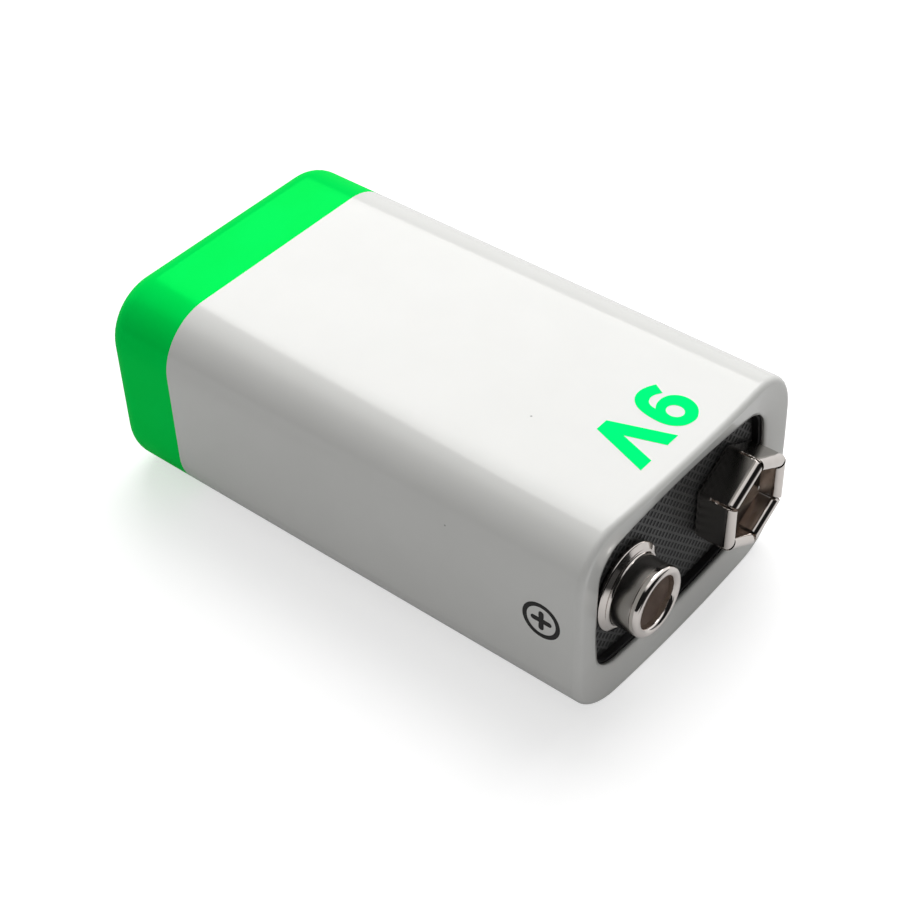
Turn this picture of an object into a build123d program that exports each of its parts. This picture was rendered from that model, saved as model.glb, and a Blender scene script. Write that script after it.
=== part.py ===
from build123d import *
import math
import os

# Outside of the battery, in millimetres.
# It lies on a broad face: X runs from the base end to the terminals,
# Y across both terminals and Z up through the thickness.
shoulder_length = 46.3      # base end to the fold of the jacket at the terminal end
body_width = 26.5
body_thickness = 17.5
terminal_height = 3.3       # floor of the terminal board to the terminal tips

# Jacket: one folded sheet of printed steel
sheet = 0.3                 # thickness of the jacket
corner_radius = 4.65        # long corners of the body
shoulder_radius = 0.5       # fold at the terminal end
base_edge_radius = 1.95     # rolled edge at the base end
rim_drop = 0.5              # how far the dished rim falls from the fold to the opening
rim_end = 2.68              # width of the rim at the two ends of the opening
rim_side = 2.27             # width of the rim along the long sides of the opening
opening_long_bow = 0.8      # how far the long sides of the opening bow outwards
opening_short_bow = 0.45
opening_radius = 2.2
base_rim = 2.9              # width of the rim rolled over the base plate
base_opening_radius = 2.0
seam_width = 2.4            # lock seam folded inwards on the lower broad face
seam_height = 0.6
seam_groove = 0.3           # line that the seam leaves on the outside
seam_groove_depth = 0.15

# Moulded pieces and cards
fit = 0.05                  # gap between the jacket and what it holds
board_thickness = 1.2
board_skirt = 1.0           # wall around the back of the terminal board
board_recess = 0.9          # depth of the floor under the edge of the opening
board_wall_gap = 0.3        # step between the opening and the wall of the recess
card = 0.3                  # insulating card over and under the cells

# Terminals: both stand on the floor of the board
terminal_edge_gap = 0.52    # least gap between a terminal and the end of the opening
plate = 0.3                 # terminal sheet
rivet_hole = 1.1            # radius of the hole through terminal, board and tab

# Positive stud: drawn, with a raised and curled flange, a necked wall and a rolled head
stud_neck_radius = 2.77
stud_root_taper = 0.06      # how much wider the wall is at its foot than at the neck
stud_flange_width = 0.8     # how far the flange stands out from the neck
stud_head_overhang = 0.06   # how far the head stands out from the neck
stud_lift = 0.31            # how far the edge of the flange stands off the board
stud_curl = 0.16            # radius of the curled edge
stud_rake = 30              # slope of the flange's top, in degrees
stud_seat = 0.03            # flat between the slope and the fillet
stud_fillet = 0.25
stud_straight = 0.4         # straight foot of the wall above the fillet
stud_wall = 0.32
stud_roll = 0.38            # rounding of the head
stud_band = 0.28            # straight band around the head
stud_flare = 0.09           # height over which the neck widens to the head

# Negative socket: six-sided crown of sprung leaves
socket_apothem = 3.7        # axis to the flat outer faces
socket_fold = 1.0           # outer face to the inner face of a folded leaf
socket_lip_flat = 0.04      # flat left on top of the fold
socket_corner = 0.55        # rounding of the six corners
socket_foot = 0.5           # rounding where the cup meets the board
slit_width = 0.28
slit_height = 1.25          # height of the unslit cup under the leaves
leaf_height = 1.7           # height at which the inner leaves end

# Tubular rivets
rivet_bore = 0.7
rivet_head_radius = 1.75
rivet_tail_radius = 1.8
rivet_flare = 0.3           # thickness of head and tail

# Nickel strip
strip = 0.15
strip_width = 3.0
link_width = 4.0
strip_bend = 0.35
tab_inset = 0.85            # the tab runs this far from its cell's axis, towards the rivet
tab_skirt_gap = 0.35        # between the skirt of the board and the bent tab
tab_pad_radius = 2.1
tab_slot_clearance = 0.25

# Six round cells in two rows of three
cells_across = 3
cell_rows = 2
film = 0.1                  # shrunk film around each cell
cell_gap = 0.15             # free space between the films of two cells
can_corner = 0.6
pip_radius = 1.6
pip_height = 0.7
cap_radius = 2.7
cap_height = 0.15           # how far the cap stands out of the crimp
bead_depth = 0.25
bead_place = 2.6            # distance of the bead from the crimped end

# Planes along the battery, from the base end to the terminals
overall_length = shoulder_length - rim_drop - board_recess + terminal_height
base_x = -overall_length / 2
fold_x = base_x + shoulder_length
rim_edge_x = fold_x - rim_drop
floor_x = rim_edge_x - board_recess
board_back_x = floor_x - board_thickness
base_plate_top_x = base_x + base_edge_radius    # the plate fills the rolled edge
lower_link_x = base_plate_top_x + card
cells_start_x = lower_link_x + strip
rivet_tail_x = board_back_x - strip - rivet_flare
tab_room = 1.2              # free space between the rivet tails and the upper card
upper_card_top_x = rivet_tail_x - tab_room
upper_link_x = upper_card_top_x - card - strip
cell_length = upper_link_x - cells_start_x

# Places across the battery
mid_z = body_thickness / 2
opening_width = body_width - 2 * rim_end
opening_height = body_thickness - 2 * rim_side
stud_flange_radius = stud_neck_radius + stud_flange_width
terminal_reach = max(stud_flange_radius, socket_apothem)
terminal_pitch = opening_width - 2 * (terminal_edge_gap + terminal_reach)
positive_y = -terminal_pitch / 2
negative_y = terminal_pitch / 2
column_pitch = (body_width - 2 * sheet) / cells_across
row_pitch = (body_thickness - 2 * sheet) / cell_rows
row_offset = row_pitch / 2
corner_reach = corner_radius - sheet
corner_offset = math.hypot(max(0, corner_reach - column_pitch / 2), max(0, corner_reach - row_pitch / 2))
cell_space = min(column_pitch / 2, row_pitch / 2, corner_reach - corner_offset)
cell_radius = cell_space - cell_gap / 2 - film
seam_y = column_pitch / 2   # the seam folds into the valley between two columns of cells
tab_y = column_pitch - tab_inset
tab_bend_offset = mid_z - sheet - fit - board_skirt - tab_skirt_gap


def section_plane(x, y=0.0, z=mid_z):
    """Plane across the battery: local x along Y, local y along Z, normal towards the terminals."""
    return Plane(origin=(x, y, z), x_dir=(0, 1, 0), z_dir=(1, 0, 0))


def profile_plane(x, y, z=mid_z):
    """Plane through an axis along X: local x is the radius, local y the height towards the terminals."""
    return Plane(origin=(x, y, z), x_dir=(0, 1, 0), z_dir=(0, 0, -1))


def opening_outline(inset=0.0):
    """Opening at the terminal end, its sides bowed outwards between rounded corners."""
    side = opening_width / 2 - inset
    top = opening_height / 2 - inset
    corner_y = side - opening_short_bow
    corner_z = top - opening_long_bow
    with BuildSketch() as outline:
        with BuildLine():
            ThreePointArc((-corner_y, corner_z), (0, top), (corner_y, corner_z))
            ThreePointArc((corner_y, corner_z), (side, 0), (corner_y, -corner_z))
            ThreePointArc((corner_y, -corner_z), (0, -top), (-corner_y, -corner_z))
            ThreePointArc((-corner_y, -corner_z), (-side, 0), (-corner_y, corner_z))
        make_face()
        fillet(outline.vertices(), opening_radius - inset)
    return outline.sketch


def body_form(inset):
    """Closed outer form of the battery, or the same form a given distance further in."""
    with BuildPart() as form:
        with BuildSketch(section_plane(base_x + inset)):
            RectangleRounded(body_width - 2 * inset, body_thickness - 2 * inset, corner_radius - inset)
        extrude(amount=shoulder_length - 2 * inset)
        fillet(form.faces().sort_by(Axis.X)[0].edges(), base_edge_radius - inset)
        if inset < shoulder_radius:
            fillet(form.faces().sort_by(Axis.X)[-1].edges(), shoulder_radius - inset)
        rim_inset = max(inset, shoulder_radius)
        with BuildSketch(section_plane(fold_x - inset)):
            RectangleRounded(body_width - 2 * rim_inset, body_thickness - 2 * rim_inset,
                             corner_radius - rim_inset)
        with BuildSketch(section_plane(rim_edge_x - inset)):
            add(opening_outline())
        loft(ruled=True, mode=Mode.SUBTRACT)
    return form.part


# Jacket: sleeve folded in at the shoulder and rolled over the base plate
with BuildPart() as jacket:
    add(body_form(0))
    add(body_form(sheet), mode=Mode.SUBTRACT)
    with BuildSketch(section_plane(rim_edge_x - 2 * sheet)):
        add(opening_outline())
    extrude(amount=rim_drop + 4 * sheet, mode=Mode.SUBTRACT)
    with BuildSketch(section_plane(base_x)):
        RectangleRounded(body_width - 2 * base_rim, body_thickness - 2 * base_rim, base_opening_radius)
    extrude(amount=2 * sheet, mode=Mode.SUBTRACT)
    with BuildSketch(section_plane(cells_start_x, seam_y, sheet)):
        Rectangle(seam_width, seam_height, align=(Align.CENTER, Align.MIN))
    extrude(amount=cell_length)
    with BuildSketch(section_plane(base_x + base_edge_radius, seam_y + seam_width / 2, 0)):
        Rectangle(seam_groove, seam_groove_depth, align=(Align.MAX, Align.MIN))
    extrude(amount=shoulder_length - base_edge_radius - shoulder_radius, mode=Mode.SUBTRACT)
jacket.part.label = "jacket"

# Terminal board: moulded tray that fills the shoulder, with a skirt around its back
with BuildPart() as terminal_board:
    add(body_form(sheet + fit))
    with BuildSketch(section_plane(base_x)):
        Rectangle(2 * body_width, 2 * body_thickness)
    extrude(amount=upper_card_top_x - base_x, mode=Mode.SUBTRACT)
    with BuildSketch(section_plane(upper_card_top_x)):
        skirt_inset = sheet + fit + board_skirt
        RectangleRounded(body_width - 2 * skirt_inset, body_thickness - 2 * skirt_inset,
                         corner_radius - skirt_inset)
    extrude(amount=board_back_x - upper_card_top_x, mode=Mode.SUBTRACT)
    with BuildSketch(section_plane(floor_x)):
        add(opening_outline(board_wall_gap))
    extrude(amount=terminal_height, mode=Mode.SUBTRACT)
    for terminal_y in (positive_y, negative_y):
        with BuildSketch(section_plane(board_back_x, terminal_y)):
            Circle(rivet_hole)
        extrude(amount=board_thickness, mode=Mode.SUBTRACT)
terminal_board.part.label = "terminal_board"

# Base plate: moulded plate behind the rolled rim
with BuildPart() as base_plate:
    add(body_form(sheet + fit))
    with BuildSketch(section_plane(base_plate_top_x)):
        Rectangle(2 * body_width, 2 * body_thickness)
    extrude(amount=overall_length, mode=Mode.SUBTRACT)
base_plate.part.label = "base_plate"

# Positive stud: revolved section of the drawn sheet, from the rivet hole out under the flange,
# round its curl, up its sloping top and the necked wall, over the rolled head and down the inside
root_radius = stud_neck_radius + stud_root_taper
seat_radius = root_radius + stud_fillet
curl_radius = stud_flange_radius - stud_curl
head_radius = stud_neck_radius + stud_head_overhang
head_high = terminal_height - stud_roll
head_low = head_high - stud_band
neck_height = head_low - stud_flare
with BuildPart() as positive_stud:
    with BuildSketch(profile_plane(floor_x, positive_y)):
        with BuildLine():
            floor_line = Line((rivet_hole, 0), (seat_radius, 0))
            underside = Line(floor_line @ 1, (curl_radius, stud_lift))
            curl = JernArc(underside @ 1, tangent=(1, 0), radius=stud_curl, arc_size=180 - stud_rake)
            slope = PolarLine(curl @ 1, (curl @ 1).X - seat_radius - stud_seat, 180 - stud_rake,
                              length_mode=LengthMode.HORIZONTAL)
            seat = Line(slope @ 1, (seat_radius, (slope @ 1).Y))
            rise = JernArc(seat @ 1, tangent=(-1, 0), radius=stud_fillet, arc_size=-90)
            straight = Line(rise @ 1, (root_radius, (rise @ 1).Y + stud_straight))
            wall = TangentArc(straight @ 1, (stud_neck_radius, neck_height), tangent=(0, 1))
            flare = Line(wall @ 1, (head_radius, head_low))
            band = Line(flare @ 1, (head_radius, head_high))
            crown = ThreePointArc(band @ 1, (head_radius - stud_roll, terminal_height),
                                  (head_radius - 2 * stud_roll, head_high))
            inner_wall_radius = stud_neck_radius - stud_wall
            lip = Line(crown @ 1, (head_radius - 2 * stud_roll, head_low))
            under = Line(lip @ 1, (inner_wall_radius, neck_height))
            inside = Line(under @ 1, (inner_wall_radius, plate))
            inner_floor = Line(inside @ 1, (rivet_hole, plate))
            Line(inner_floor @ 1, floor_line @ 0)
        make_face()
    revolve(axis=Axis((0, positive_y, mid_z), (1, 0, 0)))
positive_stud.part.label = "positive_stud"

# Negative socket: six-sided cup whose corners are slit, so that each side is a sprung leaf
# folded over at the lip and down again inside
socket_inner_apothem = socket_apothem - socket_fold
socket_lip = (socket_fold - socket_lip_flat) / 2
with BuildPart() as negative_socket:
    with BuildSketch(section_plane(floor_x, negative_y)):
        RegularPolygon(socket_apothem, 6, major_radius=False, rotation=30)
    extrude(amount=terminal_height)
    fillet(negative_socket.edges().filter_by(Axis.X), socket_corner)
    fillet(negative_socket.faces().sort_by(Axis.X)[0].edges(), socket_foot)
    fillet(negative_socket.faces().sort_by(Axis.X)[-1].edges(), socket_lip)
    with BuildSketch(section_plane(floor_x + plate, negative_y)):
        RegularPolygon(socket_apothem - plate, 6, major_radius=False, rotation=30)
    extrude(amount=leaf_height - plate, mode=Mode.SUBTRACT)
    with BuildSketch(section_plane(floor_x + leaf_height, negative_y)):
        RegularPolygon(socket_inner_apothem, 6, major_radius=False, rotation=30)
    extrude(amount=terminal_height - leaf_height, mode=Mode.SUBTRACT)
    fillet(negative_socket.faces().sort_by(Axis.X)[-1].inner_wires()[0].edges(), socket_lip)
    with BuildSketch(section_plane(floor_x + leaf_height, negative_y)):
        RegularPolygon(socket_apothem - plate, 6, major_radius=False, rotation=30)
        RegularPolygon(socket_inner_apothem + plate, 6, major_radius=False, rotation=30,
                       mode=Mode.SUBTRACT)
    extrude(amount=terminal_height - leaf_height - plate, mode=Mode.SUBTRACT)
    with BuildSketch(section_plane(floor_x + slit_height, negative_y)):
        for turn in range(3):
            Rectangle(3 * socket_apothem, slit_width, rotation=30 + 60 * turn)
    extrude(amount=terminal_height, mode=Mode.SUBTRACT)
    with BuildSketch(section_plane(floor_x, negative_y)):
        Circle(rivet_hole)
    extrude(amount=plate, mode=Mode.SUBTRACT)
negative_socket.part.label = "negative_socket"


def tubular_rivet(axis_y):
    """Hollow rivet: head inside the terminal, shank through the board, tail spread over the tab."""
    shank_radius = rivet_hole - fit
    mouth_radius = rivet_bore + rivet_flare
    head_face = plate + rivet_flare
    tail_face = rivet_tail_x - floor_x
    tail_seat = tail_face + rivet_flare
    rounding = rivet_flare / 2
    with BuildPart() as rivet:
        with BuildSketch(profile_plane(floor_x, axis_y)):
            with BuildLine():
                Polyline((shank_radius, plate), (rivet_head_radius, plate),
                         (rivet_head_radius, plate + rounding),
                         (rivet_head_radius - rounding, head_face), (mouth_radius, head_face),
                         (rivet_bore, plate), (rivet_bore, tail_seat), (mouth_radius, tail_face),
                         (rivet_tail_radius, tail_face), (rivet_tail_radius, tail_seat),
                         (shank_radius, tail_seat), close=True)
            make_face()
        revolve(axis=Axis((0, axis_y, mid_z), (1, 0, 0)))
    return rivet.part


def round_cell(plane):
    """Sealed steel can: negative cap on the plane, crimp and bead beside it, pip at the far end."""
    shoulder = cell_length - pip_height
    flat_radius = cell_radius - can_corner
    with BuildPart() as cell:
        with BuildSketch(plane):
            with BuildLine():
                Polyline((0, 0), (cap_radius, 0), (cap_radius, cap_height),
                         (flat_radius, cap_height), (cell_radius, cap_height + can_corner),
                         (cell_radius, bead_place - bead_depth), (cell_radius - bead_depth, bead_place),
                         (cell_radius, bead_place + bead_depth), (cell_radius, shoulder - can_corner),
                         (flat_radius, shoulder), (pip_radius, shoulder), (pip_radius, cell_length),
                         (0, cell_length), close=True)
            make_face()
        revolve(axis=Axis(plane.origin, plane.y_dir))
    return cell.part


def cell_film(plane):
    """Film shrunk around a can and turned in over its two rounded edges."""
    shoulder = cell_length - pip_height
    flat_radius = cell_radius - can_corner
    outer_radius = cell_radius + film
    low_corner = cap_height + can_corner
    high_corner = shoulder - can_corner
    with BuildPart() as sleeve:
        with BuildSketch(plane):
            with BuildLine():
                Polyline((flat_radius, cap_height - film), (outer_radius, low_corner),
                         (outer_radius, high_corner), (flat_radius, shoulder + film),
                         (flat_radius, shoulder), (cell_radius, high_corner),
                         (cell_radius, low_corner), (flat_radius, cap_height), close=True)
            make_face()
        revolve(axis=Axis(plane.origin, plane.y_dir))
    return sleeve.part


def insulating_card(x):
    """Card cut to the inside of the jacket."""
    with BuildPart() as sheet_of_card:
        with BuildSketch(section_plane(x)):
            RectangleRounded(body_width - 2 * (sheet + fit), body_thickness - 2 * (sheet + fit),
                             corner_radius - sheet - fit)
        extrude(amount=card)
    return sheet_of_card.part


def link_strip(x, centre_y, centre_z, pitch, turn):
    """Nickel strip welded across the ends of two neighbouring cells."""
    with BuildPart() as link:
        with BuildSketch(section_plane(x, centre_y, centre_z)):
            Rectangle(pitch + link_width, link_width, rotation=turn)
        extrude(amount=strip)
    return link.part


def terminal_tab(axis_y, tab_y, side):
    """Nickel strip from the end of a cell, round through the card's slot and back to a rivet."""
    leaf_x = upper_link_x + strip / 2
    pad_x = board_back_x - strip / 2
    with BuildPart() as tab:
        with BuildSketch(Plane(origin=(0, tab_y, mid_z), x_dir=(1, 0, 0), z_dir=(0, -side, 0))):
            with BuildLine() as route:
                FilletPolyline((leaf_x, row_offset - strip_width / 2), (leaf_x, tab_bend_offset),
                               (pad_x, tab_bend_offset), (pad_x, 0), radius=strip_bend)
            trace(line_width=strip)
        extrude(amount=strip_width / 2, both=True)
        with BuildSketch(section_plane(board_back_x - strip, axis_y)):
            Circle(tab_pad_radius)
        extrude(amount=strip)
        with BuildSketch(section_plane(board_back_x - strip, axis_y)):
            Circle(rivet_hole)
        extrude(amount=strip, mode=Mode.SUBTRACT)
    return tab.part


positive_rivet = tubular_rivet(positive_y)
positive_rivet.label = "positive_rivet"
negative_rivet = tubular_rivet(negative_y)
negative_rivet.label = "negative_rivet"

# Cells in series: columns from the positive side, each pair of rows linked at the base, with
# neighbouring columns linked at the top. Side is -1 for the lower row and +1 for the upper one.
cells = []
films = []
series = [(-1, -1), (-1, 1), (0, 1), (0, -1), (1, -1), (1, 1)]
for number, (column, side) in enumerate(series, start=1):
    cell_y = column * column_pitch
    cell_z = mid_z + side * row_offset
    if number % 2 == 1:
        cell_plane = Plane(origin=(cells_start_x, cell_y, cell_z), x_dir=(0, 1, 0), z_dir=(0, 0, -1))
    else:
        cell_plane = Plane(origin=(upper_link_x, cell_y, cell_z), x_dir=(0, 1, 0), z_dir=(0, 0, 1))
    cell = round_cell(cell_plane)
    cell.label = f"cell_{number}"
    cells.append(cell)
    sleeve = cell_film(cell_plane)
    sleeve.label = f"cell_film_{number}"
    films.append(sleeve)

base_links = [link_strip(lower_link_x, column * column_pitch, mid_z, row_pitch, 90)
              for column in (-1, 0, 1)]
top_links = [link_strip(upper_link_x, side * column_pitch / 2, mid_z - side * row_offset,
                        column_pitch, 0) for side in (-1, 1)]
for number, link in enumerate(base_links, start=1):
    link.label = f"base_link_{number}"
for number, link in enumerate(top_links, start=1):
    link.label = f"top_link_{number}"

# Tabs from the first and last cell to the rivets
positive_tab = terminal_tab(positive_y, -tab_y, -1)
positive_tab.label = "positive_tab"
negative_tab = terminal_tab(negative_y, tab_y, 1)
negative_tab.label = "negative_tab"

base_card = insulating_card(lower_link_x - card)
base_card.label = "base_card"
with BuildPart() as top_card:
    add(insulating_card(upper_card_top_x - card))
    slot_low = tab_bend_offset - strip_bend - tab_slot_clearance
    slot_high = tab_bend_offset + strip / 2 + tab_slot_clearance
    for side in (-1, 1):
        slot_z = mid_z + side * (slot_low + slot_high) / 2
        with BuildSketch(section_plane(upper_card_top_x - card, side * tab_y, slot_z)):
            Rectangle(strip_width + 2 * tab_slot_clearance, slot_high - slot_low)
        extrude(amount=card, mode=Mode.SUBTRACT)
top_card.part.label = "top_card"

os.makedirs("parts", exist_ok=True)
pieces = [jacket.part, terminal_board.part, base_plate.part, positive_stud.part, negative_socket.part,
          positive_rivet, negative_rivet, positive_tab, negative_tab, top_card.part, base_card]
for piece in pieces + cells + films + base_links + top_links:
    export_step(piece, f"parts/{piece.label}.step")
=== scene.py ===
import math
import random

import bpy
from mathutils import Matrix, Vector


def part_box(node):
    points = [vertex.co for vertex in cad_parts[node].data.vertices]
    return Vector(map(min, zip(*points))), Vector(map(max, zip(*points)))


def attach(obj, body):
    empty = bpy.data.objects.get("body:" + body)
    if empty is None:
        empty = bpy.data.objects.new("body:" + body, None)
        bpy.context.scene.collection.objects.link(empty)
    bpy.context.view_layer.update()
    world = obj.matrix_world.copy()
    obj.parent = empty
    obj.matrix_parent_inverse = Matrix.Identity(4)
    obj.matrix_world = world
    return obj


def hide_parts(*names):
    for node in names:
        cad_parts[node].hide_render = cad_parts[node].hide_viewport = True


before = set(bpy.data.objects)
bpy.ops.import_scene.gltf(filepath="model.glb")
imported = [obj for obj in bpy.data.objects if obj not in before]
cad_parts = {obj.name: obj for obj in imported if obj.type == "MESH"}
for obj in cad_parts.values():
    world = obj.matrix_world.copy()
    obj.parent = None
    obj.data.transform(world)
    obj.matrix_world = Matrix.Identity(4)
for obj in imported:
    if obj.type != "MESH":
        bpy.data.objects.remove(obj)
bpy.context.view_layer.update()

MM = 0.001

# Places taken from the frame, in metres
jacket_low, jacket_high = (Vector(corner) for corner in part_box("jacket"))
stud_low, stud_high = (Vector(corner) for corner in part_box("positive_stud"))
socket_low, socket_high = (Vector(corner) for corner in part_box("negative_socket"))
base_x = jacket_low.x
fold_x = jacket_high.x
floor_x = stud_low.x
half_width = (jacket_high.y - jacket_low.y) / 2
half_thickness = (jacket_high.z - jacket_low.z) / 2
mid_z = jacket_low.z + half_thickness
stud_y = (stud_low.y + stud_high.y) / 2
socket_y = (socket_low.y + socket_high.y) / 2

# Sizes of the jacket that the frame's boxes don't give
sheet = 0.3 * MM
corner_radius = 4.65 * MM
fold_radius = 0.45 * MM
base_edge_radius = 1.95 * MM
base_rim = 2.9 * MM
crown_middle = 0.15 * MM    # height of the fold in the middle of the long sides
crown_fall = 0.5 * MM       # how far it falls from there to the corners
crown_side = 0.25 * MM      # how far it rises again in the middle of the short sides
crown_reach = 6 * MM        # the crown of the fold fades out over this length of the walls
inner_crown = 0.6           # share of the crown on the inner side of the sheet
rim_curve = 0.8             # below 1, the rim rises fastest at the opening
opening_bevel = 0.05 * MM
base_bevel = 0.03 * MM
base_opening_radius = 2.0 * MM
rim_drop = 0.5 * MM
rim_end = 2.68 * MM
rim_side = 2.27 * MM
opening_radius = 2.2 * MM
opening_long_bow = 0.8 * MM
opening_short_bow = 0.45 * MM
band_length = 6.9 * MM
print_inset = 0.02 * MM     # the sheet lies this far inside the CAD's, to leave room for the ink
print_lift = 0.01 * MM
seam_low = 5.217 * MM       # the lap of the sheet, a shallow groove along the lower face
seam_high = 5.517 * MM
seam_depth = 0.15 * MM
seam_flank = 0.02 * MM      # slope of the groove's sides and ends


# Node materials

def new_material(name):
    material = bpy.data.materials.new(name)
    material.use_nodes = True
    tree = material.node_tree
    return material, tree, tree.nodes["Principled BSDF"]


def object_coordinates(tree):
    return tree.nodes.new("ShaderNodeTexCoord").outputs["Object"]


def noise(tree, vector, scale, detail=3.0):
    node = tree.nodes.new("ShaderNodeTexNoise")
    node.inputs["Scale"].default_value = scale
    node.inputs["Detail"].default_value = detail
    tree.links.new(vector, node.inputs["Vector"])
    return node.outputs["Fac"]


def mottled(tree, cloud, dark, light, low=0.3, high=0.7):
    """Dark where the cloud is thin and light where it is thick."""
    node = tree.nodes.new("ShaderNodeValToRGB")
    stops = zip(node.color_ramp.elements, (low, high), (dark, light))
    for element, position, colour in stops:
        element.position = position
        element.color = (*colour, 1.0)
    tree.links.new(cloud, node.inputs["Fac"])
    return node.outputs["Color"]


def value_range(tree, factor, low, high, from_low=0.0, from_high=1.0):
    node = tree.nodes.new("ShaderNodeMapRange")
    node.inputs["From Min"].default_value = from_low
    node.inputs["From Max"].default_value = from_high
    node.inputs["To Min"].default_value = low
    node.inputs["To Max"].default_value = high
    tree.links.new(factor, node.inputs["Value"])
    return node.outputs["Result"]


def soft_step(tree, value, start, end):
    """Rises smoothly from 0 at start to 1 at end, or falls where end is the lower one."""
    node = tree.nodes.new("ShaderNodeMapRange")
    node.interpolation_type = "SMOOTHSTEP"
    node.inputs["From Min"].default_value = min(start, end)
    node.inputs["From Max"].default_value = max(start, end)
    node.inputs["To Min"].default_value = 0.0 if start < end else 1.0
    node.inputs["To Max"].default_value = 1.0 if start < end else 0.0
    tree.links.new(value, node.inputs["Value"])
    return node.outputs["Result"]


def combined(tree, operation, first, second=0.0):
    """Math node on two values, each a socket or a plain number."""
    node = tree.nodes.new("ShaderNodeMath")
    node.operation = operation
    for socket, value in zip(node.inputs, (first, second)):
        if isinstance(value, (int, float)):
            socket.default_value = value
        else:
            tree.links.new(value, socket)
    return node.outputs[0]


def blended(tree, factor, first, second):
    """First where the factor is 0 and second where it is 1; each is a socket or a plain number."""
    change = combined(tree, "SUBTRACT", second, first)
    return combined(tree, "ADD", first, product(tree, change, factor))


def product(tree, first, second):
    return combined(tree, "MULTIPLY", first, second)


def mixed_colour(tree, factor, first, second, blend="MIX"):
    """Mix node on two colours, each a socket or a plain (red, green, blue)."""
    node = tree.nodes.new("ShaderNodeMix")
    node.data_type = "RGBA"
    node.blend_type = blend
    tree.links.new(factor, node.inputs["Factor"])
    for name, colour in (("A", first), ("B", second)):
        if isinstance(colour, tuple):
            node.inputs[name].default_value = (*colour, 1.0)
        else:
            tree.links.new(colour, node.inputs[name])
    return node.outputs["Result"]


def bumped(tree, height, strength):
    """Normal of a surface with these bumps."""
    node = tree.nodes.new("ShaderNodeBump")
    node.inputs["Strength"].default_value = strength
    node.inputs["Distance"].default_value = bump_height
    tree.links.new(height, node.inputs["Height"])
    return node.outputs["Normal"]


# Texture scales, strengths and roughnesses of the finishes
bump_height = 0.02 * MM
lacquer_cloud_scale = 180.0
speck_scale = 170.0
speck_edge = (0.012, 0.02)  # share of a speck's cell, from its solid middle to its edge
smudge_scale = 420.0
lacquer_roughness = (0.1, 0.17)
peel_scale = 900.0
peel_strength = 0.05
plastic_cloud_scale = 500.0
grain_scale = 9000.0
grain_strength = 0.25
nickel_cloud_scale = 1200.0
nickel_dark = (0.74, 0.69, 0.655)
nickel_light = (0.78, 0.73, 0.695)
haze_scale = 3000.0
nickel_roughness = (0.05, 0.08)
dent_scale = 1500.0
dent_strength = 0.04
# painted shade: darkens the drawn wall's colour so that its reflections come out darker
wall_shade_tint = (0.62, 0.63, 0.63)
wall_roughness = 0.2
bore_edge = 0.02 * MM       # soft edges between the regions of a terminal
# these two fade in the painted shade of the bore and of the drawn wall
bore_shade_edge = 0.1 * MM
dull_shaded_edge = 0.15 * MM


def lacquer(name, light, dark, speck, sheen, metallic=0.0):
    """Glossy print on steel sheet: faint colour variation, orange peel and sparse dust specks.

    A slightly metallic one mirrors in its own colour alone, so that the green stays deep.
    """
    material, tree, shader = new_material(name)
    shader.inputs["Specular IOR Level"].default_value = sheen
    shader.inputs["Metallic"].default_value = metallic
    vector = object_coordinates(tree)
    cloud = noise(tree, vector, lacquer_cloud_scale)
    tone = mottled(tree, cloud, dark, light, 0.35, 0.65)
    cells = tree.nodes.new("ShaderNodeTexVoronoi")
    cells.inputs["Scale"].default_value = speck_scale
    tree.links.new(vector, cells.inputs["Vector"])
    dot = value_range(tree, cells.outputs["Distance"], 1.0, 0.0, *speck_edge)
    tree.links.new(mixed_colour(tree, dot, tone, speck), shader.inputs["Base Color"])
    smudge = noise(tree, vector, smudge_scale, 4.0)
    tree.links.new(value_range(tree, smudge, *lacquer_roughness), shader.inputs["Roughness"])
    peel = noise(tree, vector, peel_scale, 2.0)
    tree.links.new(bumped(tree, peel, peel_strength), shader.inputs["Normal"])
    return material


def black_plastic(name, light, dark, rough_low, rough_high):
    """Moulded black plastic with a fine spark-eroded grain."""
    material, tree, shader = new_material(name)
    vector = object_coordinates(tree)
    cloud = noise(tree, vector, plastic_cloud_scale)
    tree.links.new(mottled(tree, cloud, dark, light), shader.inputs["Base Color"])
    grain = noise(tree, vector, grain_scale, 2.0)
    tree.links.new(value_range(tree, grain, rough_low, rough_high), shader.inputs["Roughness"])
    tree.links.new(bumped(tree, grain, grain_strength), shader.inputs["Normal"])
    return material


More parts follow.
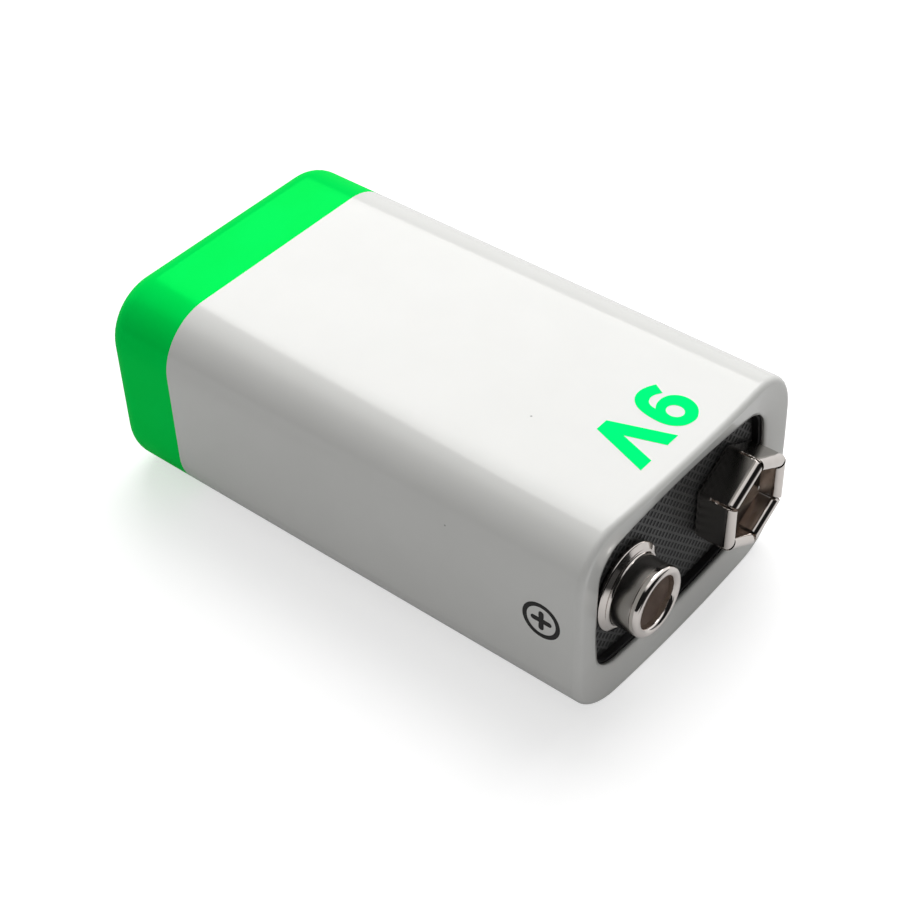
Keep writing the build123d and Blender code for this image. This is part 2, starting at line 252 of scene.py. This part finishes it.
def plated(name, axis_y, bore, bore_shade, dull_shaded_wall, lean):
    """Bright nickel outside a terminal, browner and darker inside it as painted shade; its drawn
    wall is rougher, and darker as painted shade.

    The bore is a radius and a height. Its painted shade is two colours, how metallic it is and how
    rough.
    The wall with painted shade is two heights. The lean tilts the wall's shading towards the board.
    """
    bore_radius, bore_height = bore
    bore_shade_dark, bore_shade_light, bore_shade_metallic, bore_shade_roughness = bore_shade
    wall_low, wall_high = dull_shaded_wall
    material, tree, shader = new_material(name)
    vector = object_coordinates(tree)
    place = tree.nodes.new("ShaderNodeSeparateXYZ")
    tree.links.new(vector, place.inputs[0])
    height = combined(tree, "SUBTRACT", place.outputs["X"], floor_x)
    across = combined(tree, "SUBTRACT", place.outputs["Y"], axis_y)
    up = combined(tree, "SUBTRACT", place.outputs["Z"], mid_z)
    radius = combined(tree, "SQRT", combined(tree, "ADD", product(tree, across, across),
                                             product(tree, up, up)))
    within = soft_step(tree, radius, bore_radius + bore_edge, bore_radius - bore_edge)
    below = soft_step(tree, height, bore_height + bore_shade_edge, bore_height - bore_shade_edge)
    inside = product(tree, within, below)
    rising = soft_step(tree, height, wall_low, wall_low + dull_shaded_edge)
    falling = soft_step(tree, height, wall_high, wall_high - dull_shaded_edge)
    outside = combined(tree, "SUBTRACT", 1.0, within)
    wall = product(tree, product(tree, rising, falling), outside)
    cloud = noise(tree, vector, nickel_cloud_scale)
    bright = mottled(tree, cloud, nickel_dark, nickel_light)
    # painted shade: the bore is browner and darker, less metallic and rougher, in place of the
    # shade between its walls
    bore_shade_colour = mottled(tree, cloud, bore_shade_dark, bore_shade_light)
    colour = mixed_colour(tree, inside, bright, bore_shade_colour)
    # painted shade on the drawn wall, multiplied into its colour
    shaded_wall_colour = mixed_colour(tree, wall, colour, wall_shade_tint, "MULTIPLY")
    tree.links.new(shaded_wall_colour, shader.inputs["Base Color"])
    tree.links.new(blended(tree, inside, 1.0, bore_shade_metallic), shader.inputs["Metallic"])
    haze = value_range(tree, noise(tree, vector, haze_scale, 4.0), *nickel_roughness)
    inner_rough = blended(tree, inside, haze, bore_shade_roughness)
    rough = blended(tree, wall, inner_rough, wall_roughness)
    tree.links.new(rough, shader.inputs["Roughness"])
    dents = bumped(tree, noise(tree, vector, dent_scale, 3.0), dent_strength)
    tilt = tree.nodes.new("ShaderNodeCombineXYZ")
    tree.links.new(product(tree, wall, -lean), tilt.inputs["X"])
    leaning = tree.nodes.new("ShaderNodeVectorMath")
    leaning.operation = "ADD"
    tree.links.new(dents, leaning.inputs[0])
    tree.links.new(tilt.outputs[0], leaning.inputs[1])
    unit = tree.nodes.new("ShaderNodeVectorMath")
    unit.operation = "NORMALIZE"
    tree.links.new(leaning.outputs[0], unit.inputs[0])
    tree.links.new(unit.outputs[0], shader.inputs["Normal"])
    return material


def plain_varied(name, light, dark, rough_low, rough_high, metallic=0.0, grain=900.0):
    """Quiet finish for the pieces sealed inside: card, film, strip and can."""
    material, tree, shader = new_material(name)
    shader.inputs["Metallic"].default_value = metallic
    vector = object_coordinates(tree)
    cloud = noise(tree, vector, grain)
    tree.links.new(mottled(tree, cloud, dark, light), shader.inputs["Base Color"])
    tree.links.new(value_range(tree, cloud, rough_low, rough_high), shader.inputs["Roughness"])
    return material


green_metallic = 0.06
white_lacquer = lacquer("white_lacquer", (0.8, 0.8, 0.775), (0.785, 0.785, 0.76),
                        (0.35, 0.35, 0.33), 0.38)
green_lacquer = lacquer("green_lacquer", (0.0, 0.86, 0.105), (0.0, 0.84, 0.095),
                        (0.0, 0.5, 0.02), 0.0, green_metallic)
green_ink = lacquer("green_ink", (0.0, 0.95, 0.2), (0.0, 0.93, 0.19),
                    (0.0, 0.6, 0.1), 0.0, green_metallic)
grey_ink = lacquer("grey_ink", (0.03, 0.031, 0.03), (0.024, 0.025, 0.024), (0.02, 0.02, 0.02), 0.1)
board_black = black_plastic("board_black", (0.012, 0.012, 0.012), (0.007, 0.007, 0.007), 0.4, 0.55)
ridge_black = black_plastic("ridge_black", (0.066, 0.066, 0.066), (0.046, 0.046, 0.046), 0.35, 0.5)
# each terminal: the bore, its painted shade (two colours, metallic, roughness), the heights of the
# wall with painted shade, and the lean
stud_nickel = plated("stud_nickel", stud_y, (2.47 * MM, 2.6 * MM),
                     ((0.52, 0.435, 0.385), (0.62, 0.53, 0.47), 0.2, 0.5),
                     (0.95 * MM, 2.62 * MM), 0.06)
socket_nickel = plated("socket_nickel", socket_y, (3.25 * MM, 2.75 * MM),
                       ((0.55, 0.46, 0.4), (0.78, 0.7, 0.64), 0.9, 0.2),
                       (0.3 * MM, 2.75 * MM), 0.09)
# rivets in the bottom of the bores: brown and dull, the same painted shade as the bores' insides
shaded_rivet_nickel = plain_varied("shaded_rivet_nickel", (0.46, 0.35, 0.29), (0.38, 0.285, 0.235), 0.5, 0.6, 0.2)
burr_nickel = plain_varied("burr_nickel", (0.8, 0.75, 0.71), (0.62, 0.57, 0.53), 0.12, 0.25, 1.0,
                           4000.0)
steel_strip = plain_varied("steel_strip", (0.66, 0.64, 0.61), (0.58, 0.56, 0.53), 0.25, 0.4, 1.0)
steel_can = plain_varied("steel_can", (0.62, 0.62, 0.62), (0.55, 0.55, 0.55), 0.2, 0.32, 1.0)
grey_card = plain_varied("grey_card", (0.5, 0.48, 0.45), (0.42, 0.4, 0.38), 0.8, 0.9)
clear_film = plain_varied("clear_film", (0.82, 0.83, 0.85), (0.76, 0.77, 0.8), 0.15, 0.25)


# Mesh helpers

seam_step = 16              # the seam's points come after this one of the lower long side
seam_points = tuple(edge + flank for edge in (seam_low, seam_high)
                    for flank in (-seam_flank, seam_flank))


def mesh_object(name, vertices, faces, materials, smooth=True, face_materials=None):
    mesh = bpy.data.meshes.new(name)
    mesh.from_pydata([tuple(v) for v in vertices], [], faces)
    for material in materials:
        mesh.materials.append(material)
    for index, polygon in enumerate(mesh.polygons):
        polygon.use_smooth = smooth
        if face_materials:
            polygon.material_index = face_materials[index]
    mesh.validate()
    mesh.update()
    piece = bpy.data.objects.new(name, mesh)
    bpy.context.scene.collection.objects.link(piece)
    return piece


def outline(half_y, half_z, radius, bow_y=0.0, bow_z=0.0, corner_steps=14, long_steps=20,
            short_steps=12):
    """Closed rounded rectangle as (y, z) points; the bows pull the corners in from the sides."""
    centres = [(half_y - radius, half_z - radius), (radius - half_y, half_z - radius),
               (radius - half_y, radius - half_z), (half_y - radius, radius - half_z)]
    points = []
    for quarter, (centre_y, centre_z) in enumerate(centres):
        for step in range(corner_steps + 1):
            angle = math.pi / 2 * (quarter + step / corner_steps)
            points.append((centre_y + radius * math.cos(angle),
                           centre_z + radius * math.sin(angle)))
        next_y, next_z = centres[(quarter + 1) % 4]
        turn = math.pi / 2 * (quarter + 1)
        end_y = next_y + radius * math.cos(turn)
        end_z = next_z + radius * math.sin(turn)
        start_y, start_z = points[-1]
        steps = long_steps if quarter % 2 == 0 else short_steps
        for step in range(1, steps):
            share = step / steps
            points.append((start_y + (end_y - start_y) * share,
                           start_z + (end_z - start_z) * share))
            if quarter == 2 and step == seam_step:
                points += [(seam_y, start_z) for seam_y in seam_points]
    return [(y - bow_y * (z / half_z) ** 2 * (y / half_y),
             z - bow_z * (y / half_y) ** 2 * (z / half_z)) for y, z in points]


def between(first, second, share):
    """Points part of the way from one outline to another."""
    return [(a[0] + (b[0] - a[0]) * share, a[1] + (b[1] - a[1]) * share)
            for a, b in zip(first, second)]


def lofted(name, rings, materials, ring_materials=None):
    """Closed tube through rings of equal length; the last ring joins the first."""
    count = len(rings[0])
    vertices = [point for ring in rings for point in ring]
    faces = []
    face_materials = []
    for index in range(len(rings)):
        following = (index + 1) % len(rings)
        for step in range(count):
            after = (step + 1) % count
            faces.append((index * count + step, index * count + after,
                          following * count + after, following * count + step))
            face_materials.append(ring_materials[index] if ring_materials else 0)
    return mesh_object(name, vertices, faces, materials, True, face_materials)


# Jacket

def fold_crown(y, z):
    """Height of the fold: highest in the middle of the long sides and lowest at the corners."""
    across = (y / half_width) ** 2
    up = (z / half_thickness) ** 2
    return crown_middle - crown_fall * across + crown_side * (1 - up) * across


def make_jacket():
    rings = []
    kinds = []
    white, green = 0, 1         # places of the two lacquers in the mesh's materials

    def add_ring(x, points, crown=0.0, kind=white, grooved=False):
        groove = seam_points[1:3] if grooved else ()
        rings.append([(x + crown * fold_crown(y, z), y,
                       mid_z + z + (seam_depth if z < 0 and y in groove else 0.0))
                      for y, z in points])
        kinds.append(kind)

    def body_outline(inset):
        return outline(half_width - print_inset - inset, half_thickness - print_inset - inset,
                       corner_radius - inset)

    opening = outline(half_width - rim_end, half_thickness - rim_side, opening_radius,
                      opening_short_bow, opening_long_bow)
    inner_fold = body_outline(fold_radius)
    edge_x = fold_x - rim_drop

    # Cut edge of the opening, then up the dished rim
    add_ring(edge_x - sheet, opening)
    add_ring(edge_x - opening_bevel, opening)
    rim_steps = 8
    for step in range(rim_steps):
        share = step / rim_steps
        rise = rim_drop * share ** rim_curve
        add_ring(edge_x + rise, between(opening, inner_fold, share), share)

    # Fold at the shoulder
    fold_steps = 8
    for step in range(fold_steps + 1):
        angle = math.pi / 2 * step / fold_steps
        inset = fold_radius * (1 - math.sin(angle))
        add_ring(fold_x - fold_radius * (1 - math.cos(angle)), body_outline(inset), 1.0)

    # Side walls down to the green band and on to the base
    side = body_outline(0)
    wall_top = fold_x - fold_radius
    wall_bottom = base_x + base_edge_radius
    band_x = base_x + band_length
    wall_steps = 24
    add_ring(wall_top - seam_flank, side, 1.0, grooved=True)
    for step in range(1, wall_steps):
        x = wall_top + (band_x - wall_top) * step / wall_steps
        add_ring(x, side, max(0.0, 1 - (wall_top - x) / crown_reach), grooved=True)
    band_steps = 5
    for step in range(band_steps):
        x = band_x + (wall_bottom - band_x) * step / band_steps
        add_ring(x, side, kind=green, grooved=True)
    add_ring(wall_bottom + seam_flank, side, kind=green, grooved=True)

    # Rolled edge of the base, its rim and the opening over the base plate
    edge_steps = 12
    for step in range(edge_steps + 1):
        angle = math.pi / 2 * step / edge_steps
        inset = base_edge_radius * (1 - math.cos(angle))
        add_ring(wall_bottom - base_edge_radius * math.sin(angle), body_outline(inset), kind=green)
    base_opening = outline(half_width - base_rim, half_thickness - base_rim, base_opening_radius)
    flat = body_outline(base_edge_radius)
    for share in (0.5, 0.94):
        add_ring(base_x, between(flat, base_opening, share), kind=green)
    add_ring(base_x + base_bevel, base_opening, kind=green)

    # Inner side of the sheet
    add_ring(base_x + sheet, base_opening, kind=green)
    add_ring(base_x + sheet, body_outline(base_edge_radius))
    inner_steps = 5
    reach = base_edge_radius - sheet
    for step in range(1, inner_steps):
        angle = math.pi / 2 * (1 - step / inner_steps)
        inset = sheet + reach * (1 - math.cos(angle))
        add_ring(wall_bottom - reach * math.sin(angle), body_outline(inset))
    inside = body_outline(sheet)
    add_ring(wall_bottom, inside)
    add_ring(fold_x - 2 * sheet, inside)
    add_ring(fold_x - sheet, body_outline(fold_radius + sheet / 2), inner_crown)
    return lofted("printed_jacket", rings, [white_lacquer, green_lacquer], kinds)


jacket = make_jacket()
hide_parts("jacket")
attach(jacket, "root")


# Printed signs: thin layers of ink on the sheet

ink_extrude = 0.004         # half the thickness of the ink, in millimetres


def ink_layer(name, outlines, place, material):
    """Filled flat shape between closed outlines, as (across, up) points in millimetres."""
    curve = bpy.data.curves.new(name, "CURVE")
    curve.dimensions = "2D"
    curve.fill_mode = "BOTH"
    curve.extrude = ink_extrude
    for points in outlines:
        spline = curve.splines.new("POLY")
        spline.points.add(len(points) - 1)
        for point, (across, up) in zip(spline.points, points):
            point.co = (across, up, 0, 1)
        spline.use_cyclic_u = True
    drawn = bpy.data.objects.new(name + "_curve", curve)
    mesh = bpy.data.meshes.new_from_object(drawn)
    bpy.data.objects.remove(drawn)
    bpy.data.curves.remove(curve)
    mesh.name = name
    mesh.materials.clear()
    mesh.materials.append(material)
    mesh.transform(place @ Matrix.Scale(MM, 4))
    piece = bpy.data.objects.new(name, mesh)
    bpy.context.scene.collection.objects.link(piece)
    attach(piece, "root")
    return piece


def smooth_loop(points, corners=(), steps=8):
    """Closed Catmull-Rom curve through the points, with sharp turns at the listed ones."""
    count = len(points)
    result = []
    for index in range(count):
        start, end = points[index], points[(index + 1) % count]
        before = start if index in corners else points[index - 1]
        after = end if (index + 1) % count in corners else points[(index + 2) % count]
        for step in range(steps):
            t = step / steps
            result.append(tuple(
                0.5 * (2 * b + (c - a) * t + (2 * a - 5 * b + 4 * c - d) * t ** 2
                       + (3 * b - a - 3 * c + d) * t ** 3)
                for a, b, c, d in zip(before, start, end, after)))
    return result


def ellipse(centre, radius_across, radius_up, steps=48):
    return [(centre[0] + radius_across * math.cos(2 * math.pi * step / steps),
             centre[1] + radius_up * math.sin(2 * math.pi * step / steps)) for step in range(steps)]


def rounded_bar(centre, half_length, half_height, upright=False, steps=8):
    points = []
    for end in (1, -1):
        for step in range(steps + 1):
            angle = math.pi * (step / steps - 0.5) + (0 if end > 0 else math.pi)
            along = end * (half_length - half_height) + half_height * math.cos(angle)
            across = half_height * math.sin(angle)
            points.append((centre[0] - across, centre[1] + along) if upright
                          else (centre[0] + along, centre[1] + across))
    return points


# Broad face: across runs along -Y and up along +X, measured from the base end
broad_print = Matrix(((0, 1, 0, base_x), (-1, 0, 0, 0),
                      (0, 0, 1, jacket_high.z - print_inset + print_lift), (0, 0, 0, 1)))
nine_outline = [(-2.75, 44.43), (-3.45, 44.25), (-4.08, 43.75), (-4.42, 42.95), (-4.36, 42.15),
                (-3.98, 41.55), (-3.5, 41.27), (-3.05, 41.2), (-2.55, 41.27), (-2.08, 41.5),
                (-2.17, 41.03), (-2.42, 40.7), (-2.85, 40.54), (-3.3, 40.61), (-3.8, 40.92),
                (-4.3, 40.0), (-3.6, 39.63), (-2.85, 39.48), (-2.1, 39.68), (-1.5, 40.28),
                (-1.17, 41.2), (-1.05, 42.45), (-1.25, 43.4), (-1.85, 44.15)]
ink_layer("print_nine", [smooth_loop(nine_outline, corners=(9, 14, 15)),
                         ellipse((-2.72, 42.77), 0.62, 0.7)], broad_print, green_ink)
ink_layer("print_v", [[(-0.7, 44.4), (0.6, 44.4), (1.62, 41.38), (2.58, 44.42), (3.85, 44.42),
                       (2.2, 39.48), (1.04, 39.48)]], broad_print, green_ink)

# Narrow faces: across runs along X, up along Z from the lower broad face
plus_print = Matrix(((1, 0, 0, base_x), (0, 0, -1, jacket_low.y + print_inset - print_lift),
                     (0, 1, 0, jacket_low.z), (0, 0, 0, 1)))
minus_print = Matrix(((-1, 0, 0, base_x), (0, 0, 1, jacket_high.y - print_inset + print_lift),
                      (0, 1, 0, jacket_low.z), (0, 0, 0, 1)))
sign_ring = 1.63
sign_line = 0.37
sign_arm = 0.91
sign_width = 0.225
sign_centre = (43.02, 9.46)
ink_layer("print_plus_ring", [ellipse(sign_centre, sign_ring, sign_ring),
                              ellipse(sign_centre, sign_ring - sign_line, sign_ring - sign_line)],
          plus_print, grey_ink)
ink_layer("print_plus_bar", [rounded_bar(sign_centre, sign_arm, sign_width)], plus_print, grey_ink)
for side, name in ((1, "print_plus_upper_arm"), (-1, "print_plus_lower_arm")):
    arm = rounded_bar((sign_centre[0], sign_centre[1] + side * (sign_arm + sign_width) / 2),
                      (sign_arm - sign_width) / 2, sign_width, True)
    level = sign_centre[1] + side * sign_width
    flat = [(x, level if (z - level) * side < sign_width else z) for x, z in arm]
    ink_layer(name, [flat], plus_print, grey_ink)
far_centre = (-sign_centre[0], sign_centre[1])
ink_layer("print_minus_ring", [ellipse(far_centre, sign_ring, sign_ring),
                               ellipse(far_centre, sign_ring - sign_line, sign_ring - sign_line)],
          minus_print, grey_ink)
ink_layer("print_minus_bar", [rounded_bar(far_centre, sign_arm, sign_width)], minus_print, grey_ink)


# Ladder pattern moulded into the floor of the terminal board

def board_pattern():
    pitch = 0.5905 * MM
    turn = math.radians(45.5)
    height = 0.05 * MM
    foot = -0.01 * MM           # the ridges start this far under the floor
    slope = 0.04 * MM
    line_half, line_phase = 0.06 * MM, 0.081
    bar_half, bar_phase = 0.115 * MM, 0.684
    margin = 0.45 * MM
    edge_y = half_width - rim_end - margin
    edge_z = half_thickness - rim_side - margin
    corner = 1.9 * MM
    stud_clearance, socket_clearance = 3.0 * MM, 3.2 * MM
    count = 24
    bow_y, bow_z = opening_short_bow, opening_long_bow
    vertices, faces, lookup = [], [], {}

    def levels(phase, half):
        places = []
        for index in range(-count, count + 1):
            middle = (index + phase) * pitch
            places += [(middle - half - slope, 0), (middle - half, 1),
                       (middle + half, 1), (middle + half + slope, 0)]
        return places

    def inside(y, z):
        limit_y = edge_y - bow_y * (z / edge_z) ** 2
        limit_z = edge_z - bow_z * (y / edge_y) ** 2
        if abs(y) > limit_y or abs(z) > limit_z:
            return False
        over_y, over_z = abs(y) - (limit_y - corner), abs(z) - (limit_z - corner)
        if over_y > 0 and over_z > 0 and math.hypot(over_y, over_z) > corner:
            return False
        return (math.hypot(y - stud_y, z) > stud_clearance
                and math.hypot(y - socket_y, z) > socket_clearance)

    def place(c, t):
        return (c * math.cos(turn) + t * math.sin(turn), c * math.sin(turn) - t * math.cos(turn))

    rows = levels(line_phase, line_half)
    columns = levels(bar_phase, bar_half)
    for row in range(len(rows) - 1):
        for column in range(len(columns) - 1):
            corners = [(row, column), (row, column + 1), (row + 1, column + 1), (row + 1, column)]
            heights = [max(rows[r][1], columns[c][1]) for r, c in corners]
            if not any(heights):
                continue
            points = [place(rows[r][0], columns[c][0]) for r, c in corners]
            if not all(inside(y, z) for y, z in points):
                continue
            face = []
            for key, level, (y, z) in zip(corners, heights, points):
                if key not in lookup:
                    lookup[key] = len(vertices)
                    vertices.append((floor_x + (height if level else foot), y, mid_z + z))
                face.append(lookup[key])
            faces.append(face)
    piece = mesh_object("board_pattern", vertices, faces, [ridge_black], False)
    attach(piece, "root")
    return piece


board_pattern()


# Rough edges that the punch left along the slits of the negative socket

def socket_burrs():
    turns = random.Random(9)
    slit_low, slit_high = 1.3 * MM, 3.05 * MM
    edge_reach = 4.1 * MM
    fold_start, fold_round = 2.8 * MM, 0.45 * MM
    half_slit = 0.15 * MM
    least_thick, more_thick = 0.035 * MM, 0.06 * MM
    sink, stray = 0.04 * MM, 0.06 * MM  # how far a burr wanders inwards and across its slit
    least_share, more_share = 0.6, 0.6
    steps, sides = 14, 6
    vertices, faces = [], []
    for corner in range(6):
        angle = math.radians(30 + 60 * corner)
        out = Vector((0, math.cos(angle), math.sin(angle)))
        along = Vector((0, -math.sin(angle), math.cos(angle)))
        for side in (1, -1):
            first = len(vertices)
            for step in range(steps + 1):
                height = slit_low + (slit_high - slit_low) * step / steps
                over = max(0.0, height - fold_start) / fold_round
                reach = edge_reach - fold_round * (1 - math.sqrt(max(0.0, 1 - over ** 2)))
                thick = least_thick + more_thick * turns.random()
                centre = Vector((floor_x + height, socket_y, mid_z))
                centre += out * (reach - sink * turns.random())
                centre += along * side * (half_slit - stray * turns.random())
                for point in range(sides):
                    around = 2 * math.pi * point / sides
                    spoke = out * math.cos(around) + along * math.sin(around)
                    vertices.append(centre + spoke * thick
                                    * (least_share + more_share * turns.random()))
            for step in range(steps):
                for point in range(sides):
                    after = (point + 1) % sides
                    low, high = first + step * sides, first + (step + 1) * sides
                    faces.append((low + point, low + after, high + after, high + point))
            faces.append(tuple(first + point for point in reversed(range(sides))))
            faces.append(tuple(first + steps * sides + point for point in range(sides)))
    piece = mesh_object("socket_burrs", vertices, faces, [burr_nickel])
    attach(piece, "root")
    return piece


socket_burrs()


# Carried nodes

node_materials = {"terminal_board": board_black, "base_plate": board_black,
                  "positive_stud": stud_nickel, "negative_socket": socket_nickel,
                  "positive_rivet": shaded_rivet_nickel, "negative_rivet": shaded_rivet_nickel,
                  "top_card": grey_card, "base_card": grey_card}
for name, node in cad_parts.items():
    if name in node_materials:
        material = node_materials[name]
    elif name.startswith("cell_film"):
        material = clear_film
    elif name.startswith("cell"):
        material = steel_can
    else:
        material = steel_strip
    if node.type == "MESH":
        node.data.materials.clear()
        node.data.materials.append(material)


# Stage
floor_reach = 1.5
floor_roughness = 0.9
floor_colour = (0.64, 0.64, 0.64)
floor_lift = 0.6            # keeps the floor white for the camera; the object's shadow stays on it
floor_shine = 0.12          # light that metal sees from the floor
fill_strength = 0.32        # of the world, on the object
softbox_front = (-0.65, -0.15)  # soft front edge of the softbox: Y for each unit of height
softbox_side = (0.85, 0.45)     # soft edge on the +X side: X for each unit of height
softbox_skew = 0.33             # how far that edge moves along X for each unit along Y
shade_skew = 0.7                # how far the shade's edge moves along Y for each unit along X
shade_edge = (-0.3, 0.6)        # from the front's shade to the back's
shade_level = (0.01, 0.12)      # what metal sees beside the softbox, in front and at the back
horizon = 0.01                  # directions are taken as at least this high
dark_floor = (-0.012, 0.012)    # soft edge of the dark floor that metal sees towards +X
dark_floor_x = 0.057            # where it starts, straight ahead of the terminals
dark_floor_half = 0.03          # half the width over which it starts there
dark_floor_spread = 3.0         # how much farther it starts for each unit beyond that width
dark_floor_colour = (0.02, 0.02, 0.02)


def ray_kinds(tree):
    """Two factors: 1 for glossy rays, and 1 for camera and transmission rays."""
    path = tree.nodes.new("ShaderNodeLightPath")
    clear = combined(tree, "MAXIMUM", path.outputs["Is Camera Ray"],
                     path.outputs["Is Transmission Ray"])
    return path.outputs["Is Glossy Ray"], clear


def add_floor():
    mesh = bpy.data.meshes.new("floor")
    reach = floor_reach
    corners = [(-reach, -reach, 0), (reach, -reach, 0), (reach, reach, 0), (-reach, reach, 0)]
    mesh.from_pydata(corners, [], [(0, 1, 2, 3)])
    floor = bpy.data.objects.new("floor", mesh)
    bpy.context.scene.collection.objects.link(floor)
    material, tree, shader = new_material("floor_paper")
    shader.inputs["Roughness"].default_value = floor_roughness
    glossy, clear = ray_kinds(tree)
    place = tree.nodes.new("ShaderNodeSeparateXYZ")
    tree.links.new(object_coordinates(tree), place.inputs[0])
    distance = combined(tree, "ABSOLUTE", place.outputs["Y"])
    aside = combined(tree, "MAXIMUM", combined(tree, "SUBTRACT", distance, dark_floor_half), 0.0)
    start = combined(tree, "ADD", product(tree, aside, dark_floor_spread), dark_floor_x)
    beyond = combined(tree, "SUBTRACT", place.outputs["X"], start)
    dark = product(tree, soft_step(tree, beyond, *dark_floor), glossy)
    paper = mixed_colour(tree, dark, floor_colour, dark_floor_colour)
    tree.links.new(paper, shader.inputs["Base Color"])
    shine = product(tree, glossy, blended(tree, dark, floor_shine, 0.0))
    lift = tree.nodes.new("ShaderNodeEmission")
    tree.links.new(combined(tree, "MAXIMUM", product(tree, clear, floor_lift), shine),
                   lift.inputs["Strength"])
    both = tree.nodes.new("ShaderNodeAddShader")
    tree.links.new(shader.outputs[0], both.inputs[0])
    tree.links.new(lift.outputs[0], both.inputs[1])
    tree.links.new(both.outputs[0], tree.nodes["Material Output"].inputs["Surface"])
    mesh.materials.append(material)


def add_world():
    """White studio. Metal sees a softbox overhead and towards the back, and shade beside it."""
    world = bpy.data.worlds.new("studio")
    bpy.context.scene.world = world
    world.use_nodes = True
    tree = world.node_tree
    background = tree.nodes["Background"]
    background.inputs["Color"].default_value = (1, 1, 1, 1)
    direction = tree.nodes.new("ShaderNodeSeparateXYZ")
    coordinates = tree.nodes.new("ShaderNodeTexCoord")
    tree.links.new(coordinates.outputs["Generated"], direction.inputs[0])
    height = combined(tree, "MAXIMUM", direction.outputs["Z"], horizon)
    along_x = combined(tree, "DIVIDE", direction.outputs["X"], height)
    along_y = combined(tree, "DIVIDE", direction.outputs["Y"], height)
    skewed = combined(tree, "SUBTRACT", along_x, product(tree, along_y, softbox_skew))
    box = product(tree, soft_step(tree, along_y, *softbox_front),
                  soft_step(tree, skewed, *softbox_side))
    towards_back = combined(tree, "SUBTRACT", along_y, product(tree, along_x, shade_skew))
    shade = blended(tree, soft_step(tree, towards_back, *shade_edge), *shade_level)
    glossy, clear = ray_kinds(tree)
    plain = blended(tree, clear, fill_strength, 1.0)
    strength = blended(tree, glossy, plain, blended(tree, box, shade, 1.0))
    tree.links.new(strength, background.inputs["Strength"])


def add_lamp(name, place, aim, size, power):
    data = bpy.data.lights.new(name, "AREA")
    data.shape = "RECTANGLE"
    data.size, data.size_y = size
    data.energy = power
    lamp = bpy.data.objects.new(name, data)
    lamp.location = place
    lamp.rotation_euler = (Vector(aim) - Vector(place)).to_track_quat("-Z", "Y").to_euler()
    bpy.context.scene.collection.objects.link(lamp)


# Camera, fitted to the outline of the object in the photograph
camera_azimuth = math.radians(40.860)
camera_elevation = math.radians(42.004)
camera_roll = math.radians(-2.231)
camera_distance = 0.156760
camera_target = Vector((-0.0011, 0.001017, 0.004125))
focal_pixels = 1963.886
frame_pixels = 900
sensor_width = 36.0


def add_camera():
    level = math.cos(camera_elevation)
    back = Vector((math.sin(camera_azimuth) * level, -math.cos(camera_azimuth) * level,
                   math.sin(camera_elevation)))
    right = (-back).cross(Vector((0, 0, 1))).normalized()
    up = right.cross(-back)
    cosine, sine = math.cos(camera_roll), math.sin(camera_roll)
    rolled_right = cosine * right + sine * up
    rolled_up = -sine * right + cosine * up
    turn = Matrix((rolled_right, rolled_up, back)).transposed().to_4x4()
    data = bpy.data.cameras.new("camera")
    data.sensor_width = sensor_width
    data.lens = focal_pixels * sensor_width / frame_pixels
    data.clip_start = 0.001
    camera = bpy.data.objects.new("camera", data)
    camera.matrix_world = Matrix.Translation(camera_target + back * camera_distance) @ turn
    bpy.context.scene.collection.objects.link(camera)
    bpy.context.scene.camera = camera


add_floor()
add_world()
add_lamp("overhead", place=(-0.175, 0.35, 0.58), aim=(0, 0, 0), size=(0.6, 0.6), power=4.25)
add_camera()
bpy.context.scene.view_settings.view_transform = "Standard"
